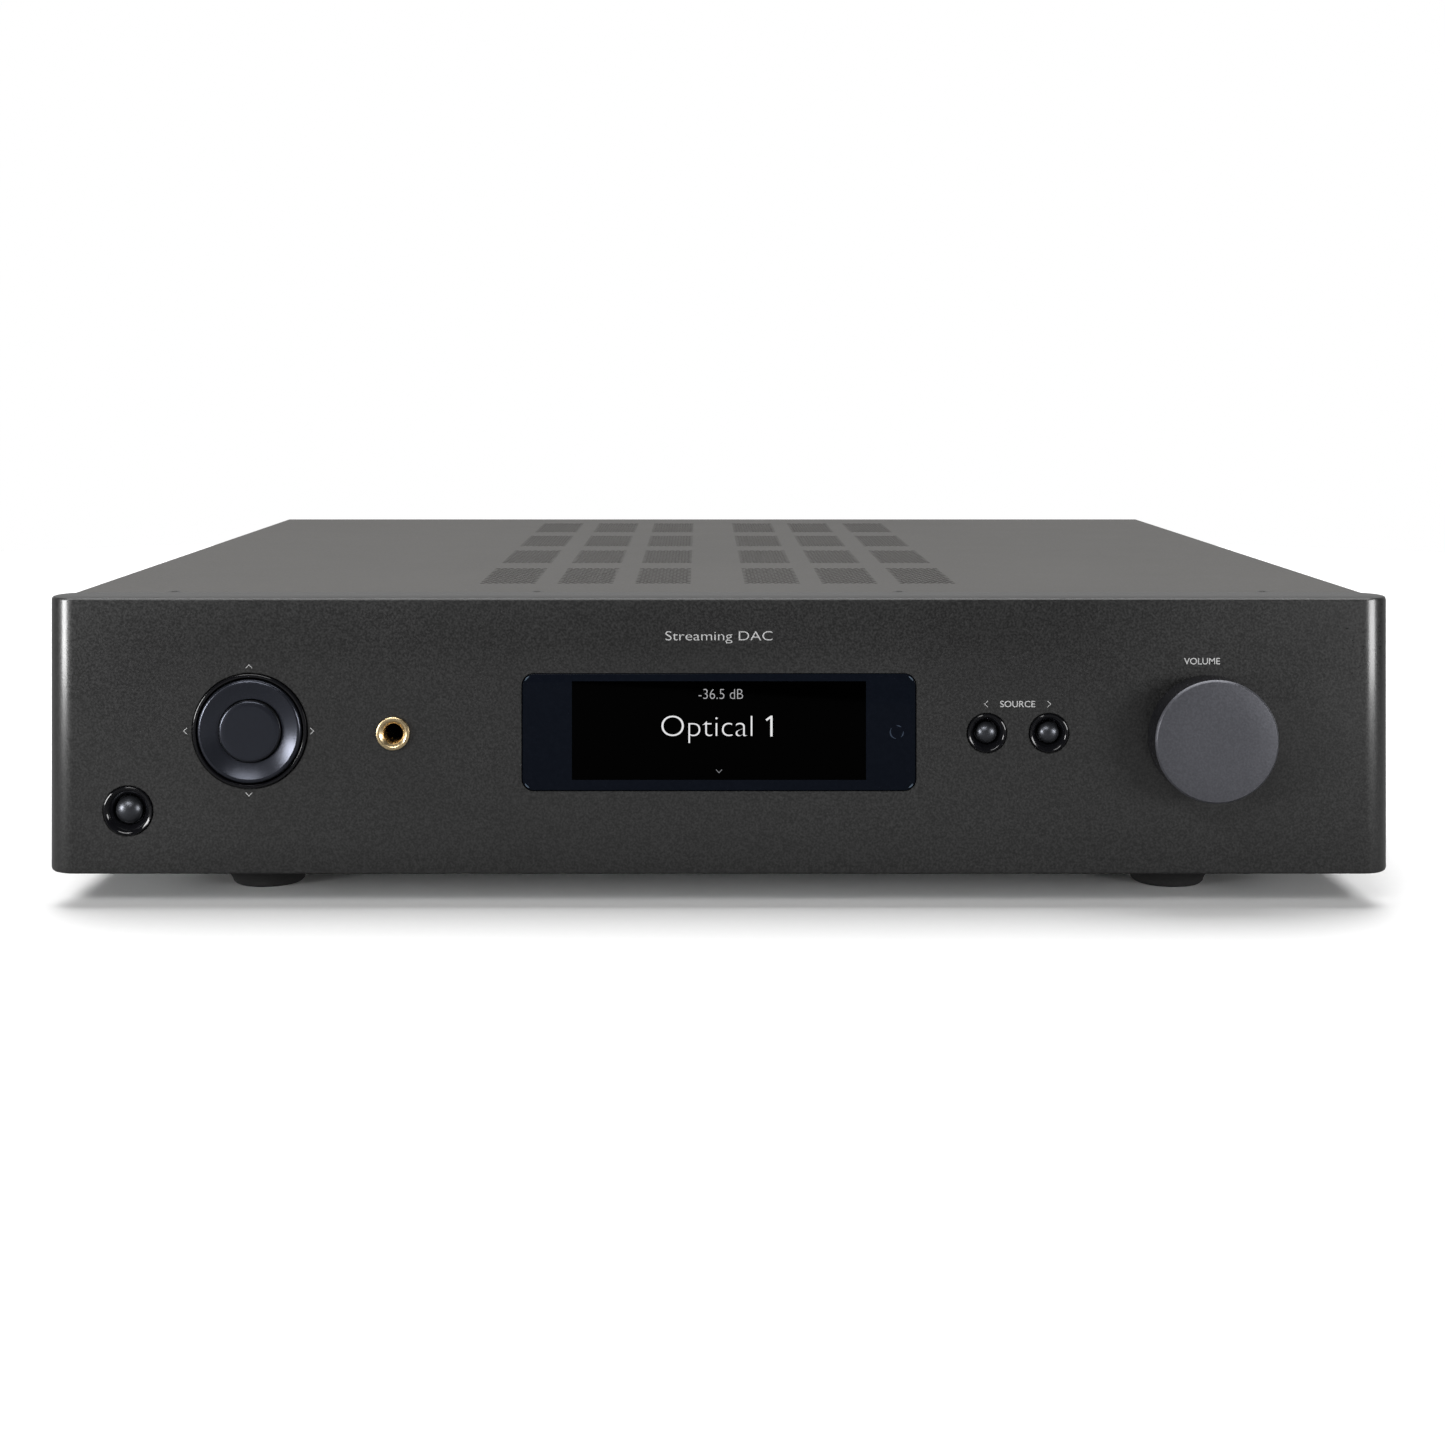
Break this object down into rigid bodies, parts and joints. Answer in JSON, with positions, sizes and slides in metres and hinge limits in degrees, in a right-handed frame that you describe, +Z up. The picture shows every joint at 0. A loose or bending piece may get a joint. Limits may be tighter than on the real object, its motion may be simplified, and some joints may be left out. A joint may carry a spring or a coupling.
{
  "type": "streaming dac preamplifier",
  "caption": "Full-width hi-fi converter and preamplifier: charcoal case with vented cover, display, volume knob, four-way pad, push buttons, headphone socket and rear sockets.",
  "frame": {"origin": "centre of the bounding box in plan, on the surface the feet stand on", "axes": "+X to the right seen from the front, +Y from front to back, +Z up"},
  "size_m": [0.435, 0.405, 0.1],
  "materials": {
    "panel_paint": "fine-textured charcoal paint",
    "cover_paint": "satin graphite powder coat",
    "knob_metal": "anodised, fine turned face",
    "black_gloss": "polished black plastic",
    "black_plastic": "satin black moulding",
    "window": "tinted acrylic, polished",
    "gold": "gold-plated, polished",
    "bright_steel": "nickel-plated",
    "zinc_steel": "zinc-plated sheet",
    "dark_screw": "black-oxide fastener",
    "board": "solder-masked circuit board",
    "winding": "taped ferrite transformer"
  },
  "bodies": {
    "chassis": {"front_panel": "panel_paint", "display_window": "window", "display_module": "black_plastic", "headphone_jack": "black_plastic", "iec_inlet": "black_plastic", "rocker_frame": "black_plastic", "rca_inputs": "black_plastic", "rca_outputs": "black_plastic", "coax_block": "black_plastic", "optical_block": "black_plastic", "trigger_jack": "black_plastic", "foot_front_left": "black_plastic", "foot_front_right": "black_plastic", "foot_rear_left": "black_plastic", "foot_rear_right": "black_plastic", "ir_receiver": "black_gloss", "power_bezel": "black_gloss", "source_bezel_left": "black_gloss", "source_bezel_right": "black_gloss", "nav_bezel": "black_gloss", "headphone_ring": "gold", "antenna_socket_left": "gold", "antenna_socket_right": "gold", "ground_post": "gold", "ethernet_socket": "bright_steel", "usb_socket": "bright_steel", "serial_port": "bright_steel", "volume_encoder": "zinc_steel", "bottom_tray": "zinc_steel", "xlr_right": "zinc_steel", "xlr_left": "zinc_steel", "front_board": "board", "main_board": "board", "network_board": "board", "power_supply_board": "board", "supply_transformer": "winding", "top_cover": "cover_paint", "rear_panel": "cover_paint", "module_plate_upper": "cover_paint", "module_plate_lower": "cover_paint", "cover_screw_1": "dark_screw", "cover_screw_2": "dark_screw", "cover_screw_3": "dark_screw", "cover_screw_4": "dark_screw", "side_screw_1": "dark_screw", "side_screw_2": "dark_screw", "side_screw_3": "dark_screw", "side_screw_4": "dark_screw"},
    "volume": {"volume_knob": "knob_metal", "encoder_shaft": "bright_steel"},
    "power_button": {"power_button": "black_gloss"},
    "source_left": {"source_button_left": "black_gloss"},
    "source_right": {"source_button_right": "black_gloss"},
    "nav_gimbal": {"nav_gimbal": "black_plastic"},
    "nav_ring": {"nav_ring": "black_gloss"},
    "nav_select": {"nav_select_button": "black_gloss"},
    "mains_rocker": {"mains_rocker": "black_gloss"},
    "flap_left": {"optical_flap_left": "black_plastic"},
    "flap_right": {"optical_flap_right": "black_plastic"},
    "ground_nut": {"ground_nut": "gold"}
  },
  "joints": [
    {"name": "volume_turn", "type": "hinge", "parent": "chassis", "child": "volume", "pos_m": [0.1576, -0.1905, 0.0557], "axis": [0, 1, 0], "continuous": true},
    {"name": "power_press", "type": "slide", "parent": "chassis", "child": "power_button", "axis": [0, 1, 0], "range_m": [0, 0.0012], "stiffness_N_per_m": 900, "springref_m": -0.0006},
    {"name": "source_left_press", "type": "slide", "parent": "chassis", "child": "source_left", "axis": [0, 1, 0], "range_m": [0, 0.0012], "stiffness_N_per_m": 900, "springref_m": -0.0006},
    {"name": "source_right_press", "type": "slide", "parent": "chassis", "child": "source_right", "axis": [0, 1, 0], "range_m": [0, 0.0012], "stiffness_N_per_m": 900, "springref_m": -0.0006},
    {"name": "nav_up_down", "type": "hinge", "parent": "chassis", "child": "nav_gimbal", "pos_m": [-0.1511, -0.1858, 0.0572], "axis": [1, 0, 0], "range_deg": [-2, 2], "stiffness_Nm_per_rad": 0.3},
    {"name": "nav_left_right", "type": "hinge", "parent": "nav_gimbal", "child": "nav_ring", "pos_m": [-0.1511, -0.1858, 0.0572], "axis": [0, 0, 1], "range_deg": [-2, 2], "stiffness_Nm_per_rad": 0.3},
    {"name": "nav_select_press", "type": "slide", "parent": "chassis", "child": "nav_select", "axis": [0, 1, 0], "range_m": [0, 0.0008], "stiffness_N_per_m": 900, "springref_m": -0.0006},
    {"name": "mains_rocker_tilt", "type": "hinge", "parent": "chassis", "child": "mains_rocker", "pos_m": [-0.1856, 0.1852, 0.0755], "axis": [1, 0, 0], "range_deg": [-16, 0]},
    {"name": "optical_flap_left_swing", "type": "hinge", "parent": "chassis", "child": "flap_left", "pos_m": [-0.0115, 0.1845, 0.0695], "axis": [-1, 0, 0], "range_deg": [0, 80], "stiffness_Nm_per_rad": 0.00008, "springref_deg": -22.92},
    {"name": "optical_flap_right_swing", "type": "hinge", "parent": "chassis", "child": "flap_right", "pos_m": [0.0035, 0.1845, 0.0695], "axis": [-1, 0, 0], "range_deg": [0, 80], "stiffness_Nm_per_rad": 0.00008, "springref_deg": -22.92},
    {"name": "ground_nut_turn", "type": "hinge", "parent": "chassis", "child": "ground_nut", "pos_m": [0.134, 0.193, 0.0851], "axis": [0, 1, 0], "range_deg": [0, 360]}
  ]
}
